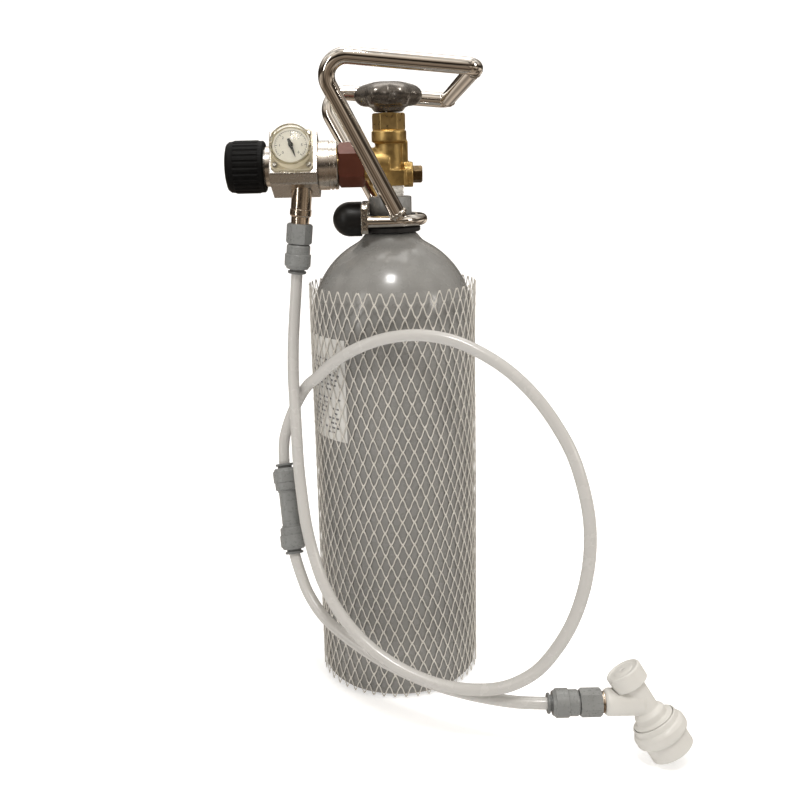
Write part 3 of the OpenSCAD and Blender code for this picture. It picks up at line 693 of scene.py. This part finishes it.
_cb = unit(RR_END - FR_END)
bead("weld_cross_front", FR_END + 7.0 * _cb, _cb, 5.05, 0.85, 0.6)
bead("weld_cross_rear", RR_END - 7.0 * _cb, _cb, 5.05, 0.85, 2.1)
bead("weld_foot_front", FR_LEG + 3.2 * unit(np.array([-19.0, -16.5, 36.0])), unit(np.array([-0.44, -0.30, 0.85])), 5.0, 1.25, 1.3)
bead("weld_foot_rear", RR_LEG + 3.2 * unit(np.array([-17.5, 10, 36.0])), unit(np.array([-0.42, 0.24, 0.87])), 5.0, 1.25, 3.3)


# ----------------------------------------------------------- handwheel
def make_wheel():
    """Six-lobed die-cast wheel, 47 mm over the lobes."""
    z0 = 417.6
    prof = [(4.02, 0.0), (8.4, 0.0), (9.8, 0.3), (10.7, 1.2), (11.6, 2.6), (13.6, 3.6), (16.8, 3.9), (19.2, 4.6),
            (21.2, 6.0), (22.8, 8.0), (23.6, 10.4), (23.4, 12.6), (22.3, 14.8), (20.2, 16.7), (17.2, 18.1),
            (13.4, 19.1), (10.4, 19.7), (8.8, 20.0), (7.7, 19.9), (7.1, 19.4), (6.8, 18.4), (6.7, 16.1), (4.02, 16.0)]
    n = 40 * 6
    prof = np.array(prof)

    def wob(a, pr):
        lobe = ((1 + math.cos(6 * a)) / 2) ** 0.75          # 1 at a lobe, 0 in a valley
        valley = 1 - lobe
        out = pr[:, 0].copy()
        w = np.clip((out - 11.0) / 11.8, 0, 1) ** 1.1
        return out - w * valley * 5.4

    ob = lathe("lobed_wheel", [(r, z + z0) for r, z in prof], n=n, wobble=lambda a, pr: wob(a, pr))
    sharpen(ob, 60)
    paint_piece(ob, "wheel")
    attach(ob, "valve_wheel")
    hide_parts("handwheel")


make_wheel()

# ------------------------------------------------------------ cylinder
def cylinder():
    """Painted shell: flat base with a rolled edge, straight wall, domed shoulder that blends into the neck."""
    cr, sz, sh = 58.5, 271.0, 62.5
    prof = [(0.01, 0.0), (49.5, 0.0), (51.5, 0.08), (53.5, 0.55), (55.5, 1.65), (57.2, 3.5), (58.2, 5.6), (cr, 8.0)]
    prof += [(cr, z) for z in np.linspace(14, 268, 24)]
    f1 = math.acos(27.0 / cr)
    for k in range(0, 41):
        f = f1 * k / 40
        prof.append((cr * math.cos(f), sz + sh * math.sin(f)))
    prof += [(25.5, 327.3), (24.0, 328.25), (22.6, 329.3), (21.4, 330.45), (20.4, 331.6), (19.5, 332.75), (18.5, 333.85),
             (17.5, 334.7), (16.4, 335.3), (15.0, 335.5), (15.0, 359.4), (14.9, 359.75), (14.6, 360.0), (0.01, 360.0)]
    ob = lathe("painted_cylinder", prof, 192)
    sharpen(ob, 40)
    paint_piece(ob, "paint")
    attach(ob, "kit")
    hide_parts("cylinder_shell")


cylinder()

# ----------------------------------------------------- cast and moulded
valve = soften("valve_body", "cast_valve_body", 0.55, 7)
paint_piece(valve, "cast_brass")
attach(valve, "kit")
gland = soften("gland_nut", "gland_hexagon", 0.32, 3)
paint_piece(gland, "bright_brass")
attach(gland, "kit")
block = soften("regulator_body", "machined_block", 0.42, 2)
paint_piece(block, "block")
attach(block, "kit")
dbody = soften("disc_body", "disconnect_body", 0.42, 7)
paint_piece(dbody, "ivory")
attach(dbody, "kit")
dcap = soften("disc_cap", "disconnect_cap", 0.34, 3)
paint_piece(dcap, "ivory")
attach(dcap, "kit")
dcol = soften("lock_collar", "disconnect_collar", 0.40, 3)
paint_piece(dcol, "ivory")
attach(dcol, "lock_collar")
plate = soften("clamp_plate", "bent_clamp_plate", 0.45, 8)
paint_piece(plate, "chrome_rough")
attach(plate, "kit")


def cap_detail():
    """Low domed button in the recess of the disconnect's cap."""
    prof = [(0.01, 61.95), (3.0, 61.92), (5.2, 61.78), (6.6, 61.5), (7.2, 61.1), (7.2, 60.6), (0.01, 60.6)]
    ob = lathe("cap_button", prof, 72, mat4(DC_AX, DC_O))
    paint_piece(ob, "ivory")
    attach(ob, "kit")
    return ob


cap_rings = cap_detail()


def tape():
    """Irregular wraps of white sealing tape under the valve."""
    z = np.linspace(360.05, 367.7, 26)
    prof = [(8.85, 360.05)]
    for i, h in enumerate(z):
        prof.append((9.42 + 0.22 * math.sin(i * 1.9) + 0.12 * math.sin(i * 4.7), h))
    prof.append((8.85, 367.7))

    def wob(a, pr):
        out = pr[:, 0].copy()
        out[1:-1] += 0.16 * np.sin(2 * a + pr[1:-1, 1] * 2.1) + 0.10 * np.sin(7 * a - pr[1:-1, 1] * 1.3)
        return out

    ob = lathe("wrapped_tape", prof, 120, wobble=wob)
    paint_piece(ob, "tape")
    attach(ob, "kit")
    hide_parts("thread_tape")


tape()

# --------------------------------------------------------- gauge marks
GT = math.radians(25.5)
G_N = np.array([0, -math.cos(GT), math.sin(GT)])
G_T = np.array([0, math.sin(GT), math.cos(GT)])
G_X = np.array([1.0, 0, 0])
G_O = np.array([-66.5, 0, 382.3]) + 3 * G_T


def gauge_marks():
    n0 = 26.86
    verts, faces = [], []

    def quad(r0, r1, a, w0, w1):
        d = np.array([math.cos(a), math.sin(a)])
        s = np.array([-d[1], d[0]])
        off = len(verts)
        for r, w in ((r0, w0), (r1, w1)):
            for sg in (-1, 1):
                p = d * r + s * sg * w / 2
                verts.append(G_O + G_X * p[0] + G_T * p[1] + G_N * n0)
        faces.append((off, off + 2, off + 3, off + 1))

    for i in range(31):
        a = math.radians(225 - 270 * i / 30)
        major = i % 5 == 0
        quad(9.2 if major else 9.9, 10.7, a, 0.34 if major else 0.16, 0.34 if major else 0.16)
    arc = 60
    for i in range(arc):
        a0 = math.radians(225 - 270 * i / arc)
        a1 = math.radians(225 - 270 * (i + 1) / arc)
        off = len(verts)
        for r, a in ((10.7, a0), (10.86, a0), (10.86, a1), (10.7, a1)):
            verts.append(G_O + G_X * r * math.cos(a) + G_T * r * math.sin(a) + G_N * n0)
        faces.append((off, off + 1, off + 2, off + 3))
    ob = new_mesh("dial_marks", np.array(verts) * MM, faces, smooth=False)
    md = ob.modifiers.new("thick", "SOLIDIFY")
    md.thickness = 0.00005
    md.offset = 0
    ob = baked(ob, "dial_marks")
    paint_piece(ob, "ink")
    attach(ob, "kit")
    for i in range(7):
        a = math.radians(225 - 45 * i)
        cu = bpy.data.curves.new(f"dial_number_{i}", "FONT")
        cu.body = str(i)
        cu.size = 0.0026
        cu.align_x = "CENTER"
        cu.align_y = "CENTER"
        cu.extrude = 0.00003
        t = bpy.data.objects.new(f"dial_number_{i}", cu)
        scene.collection.objects.link(t)
        m = np.eye(4)
        m[:3, 0], m[:3, 1], m[:3, 2] = G_X, G_T, G_N
        m[:3, 3] = (G_O + G_X * 7.5 * math.cos(a) + G_T * 7.5 * math.sin(a) + G_N * 26.87) * MM
        t.matrix_world = Matrix(m.tolist())
        bpy.context.view_layer.update()
        dg = bpy.context.evaluated_depsgraph_get()
        me = bpy.data.meshes.new_from_object(t.evaluated_get(dg))
        me.transform(t.matrix_world)
        bpy.data.objects.remove(t)
        o = bpy.data.objects.new(f"dial_number_{i}", me)
        scene.collection.objects.link(o)
        paint_piece(o, "ink")
        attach(o, "kit")


gauge_marks()


# --------------------------------------------------------- stage, light
def stage():
    prof = []
    for y in np.linspace(-3.0, 1.0, 12):
        prof.append((y, 0.0))
    for a in np.linspace(0, math.pi / 2, 16)[1:]:
        prof.append((1.0 + 0.9 * math.sin(a), 0.9 - 0.9 * math.cos(a)))
    for z in np.linspace(0.9, 3.2, 6)[1:]:
        prof.append((1.9, z))
    verts, faces = [], []
    xs = (-3.5, 3.5)
    for y, z in prof:
        for x in xs:
            verts.append((x, y, z))
    for i in range(len(prof) - 1):
        faces.append((2 * i, 2 * i + 1, 2 * i + 3, 2 * i + 2))
    ob = new_mesh("studio_floor", np.array(verts), faces)
    ob.visible_glossy = False
    g = Mat("studio_paper")
    g.set(Base_Color=(0.80, 0.80, 0.80, 1), Roughness=0.9)
    g.p.inputs["Specular IOR Level"].default_value = 0.0
    g.p.inputs["Emission Color"].default_value = (1, 1, 1, 1)
    g.p.inputs["Emission Strength"].default_value = 0.46
    ob.data.materials.append(g.m)


stage()


def area(name, loc, target, size, power, color=(1, 1, 1), size_y=None):
    li = bpy.data.lights.new(name, "AREA")
    li.energy = power
    li.color = color
    li.size = size
    if size_y:
        li.shape = "RECTANGLE"
        li.size_y = size_y
    ob = bpy.data.objects.new(name, li)
    scene.collection.objects.link(ob)
    ob.location = loc
    ob.rotation_euler = (Vector(target) - Vector(loc)).to_track_quat("-Z", "Y").to_euler()
    return ob


area("key", (-0.05, -0.85, 1.75), (0.0, 0.0, 0.25), 0.30, 11.5, (1.0, 0.99, 0.975))
area("side", (1.5, -0.7, 0.9), (0.0, 0.0, 0.25), 0.35, 4.8, (1.0, 0.955, 0.90))
area("strip", (-0.85, -0.75, 0.62), (-0.05, 0.0, 0.3), 0.10, 1.6, (1.0, 0.98, 0.96), 0.8)
area("top", (0.1, 0.5, 1.9), (0.0, 0.0, 0.2), 1.0, 7, (1.0, 0.98, 0.95))


def world():
    """Pale to the eye; for reflections a warm room, dark in front and low down, bright overhead."""
    w = bpy.data.worlds.new("soft_room")
    scene.world = w
    w.use_nodes = True
    t = w.node_tree
    bg = t.nodes["Background"]
    tc = t.nodes.new("ShaderNodeTexCoord")
    sp = t.nodes.new("ShaderNodeSeparateXYZ")
    t.links.new(tc.outputs["Generated"], sp.inputs[0])

    def ramp(src, lo, hi, stops):
        r = t.nodes.new("ShaderNodeValToRGB")
        el = r.color_ramp.elements
        el[0].position, el[0].color = stops[0][0], (*stops[0][1], 1)
        el[-1].position, el[-1].color = stops[-1][0], (*stops[-1][1], 1)
        for p, c in stops[1:-1]:
            e = el.new(p)
            e.color = (*c, 1)
        m = t.nodes.new("ShaderNodeMapRange")
        m.inputs["From Min"].default_value = lo
        m.inputs["From Max"].default_value = hi
        t.links.new(src, m.inputs["Value"])
        t.links.new(m.outputs["Result"], r.inputs["Fac"])
        return r.outputs["Color"]

    up = ramp(sp.outputs["Z"], -1, 1, [(0.0, (0.36, 0.30, 0.24)), (0.22, (0.16, 0.125, 0.095)), (0.36, (0.42, 0.36, 0.30)),
                                       (0.42, (0.52, 0.46, 0.39)), (0.47, (0.05, 0.038, 0.028)), (0.58, (0.035, 0.028, 0.022)),
                                       (0.64, (0.20, 0.17, 0.14)), (0.76, (0.62, 0.58, 0.53)), (0.86, (1.0, 0.97, 0.92)),
                                       (1.0, (0.9, 0.87, 0.84))])
    side = ramp(sp.outputs["Y"], -1, 1, [(0.0, (0.62, 0.58, 0.54)), (0.3, (0.75, 0.72, 0.68)), (0.6, (1.1, 1.1, 1.1)),
                                         (1.0, (1.3, 1.3, 1.3))])
    mul = t.nodes.new("ShaderNodeMix")
    mul.data_type = "RGBA"
    mul.blend_type = "MULTIPLY"
    mul.inputs[0].default_value = 1.0
    t.links.new(up, mul.inputs[6])
    t.links.new(side, mul.inputs[7])
    # soft patches stand for furniture and windows
    nz = t.nodes.new("ShaderNodeTexNoise")
    nz.inputs["Scale"].default_value = 2.6
    nz.inputs["Detail"].default_value = 1.5
    t.links.new(tc.outputs["Generated"], nz.inputs["Vector"])
    mr = t.nodes.new("ShaderNodeMapRange")
    mr.inputs["From Min"].default_value = 0.38
    mr.inputs["From Max"].default_value = 0.62
    mr.inputs["To Min"].default_value = 0.35
    mr.inputs["To Max"].default_value = 1.6
    t.links.new(nz.outputs["Fac"], mr.inputs["Value"])
    patch = t.nodes.new("ShaderNodeMix")
    patch.data_type = "RGBA"
    patch.blend_type = "MULTIPLY"
    patch.inputs[0].default_value = 1.0
    t.links.new(mul.outputs[2], patch.inputs[6])
    t.links.new(mr.outputs["Result"], patch.inputs[7])
    mul = patch
    lp = t.nodes.new("ShaderNodeLightPath")
    pick = t.nodes.new("ShaderNodeMix")
    pick.data_type = "RGBA"
    pick.inputs[7].default_value = (1, 1, 1, 1)
    t.links.new(lp.outputs["Is Camera Ray"], pick.inputs[0])
    t.links.new(mul.outputs[2], pick.inputs[6])
    t.links.new(pick.outputs[2], bg.inputs["Color"])
    bg.inputs["Strength"].default_value = 1.0


world()
scene.view_settings.view_transform = "Standard"


# ------------------------------------------------------------- springs
def spring(node, joint):
    """A steel copy of a CAD spring, attached to the kit in place of the hidden CAD spring."""
    j = next(x for x in frame["joints"] if x["name"] == joint)
    a = np.array(j["axis"], float)
    ob = bpy.data.objects.new(node + "_coil", nodes[node].data.copy())
    scene.collection.objects.link(ob)
    co = np.array([v.co for v in ob.data.vertices], float)
    d = co @ a
    paint_piece(ob, "steel")
    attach(ob, "kit")
    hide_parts(node)
    tuple(co[int(d.argmax())])
    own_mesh(ob)
    return ob


spring("main_spring", "screw_advance")
check_coil = spring("check_spring", "check_poppet_lift")
pin_coil = spring("pin_spring", "pin_press")
collar_coil = spring("collar_spring", "collar_pull")

bpy.context.view_layer.update()
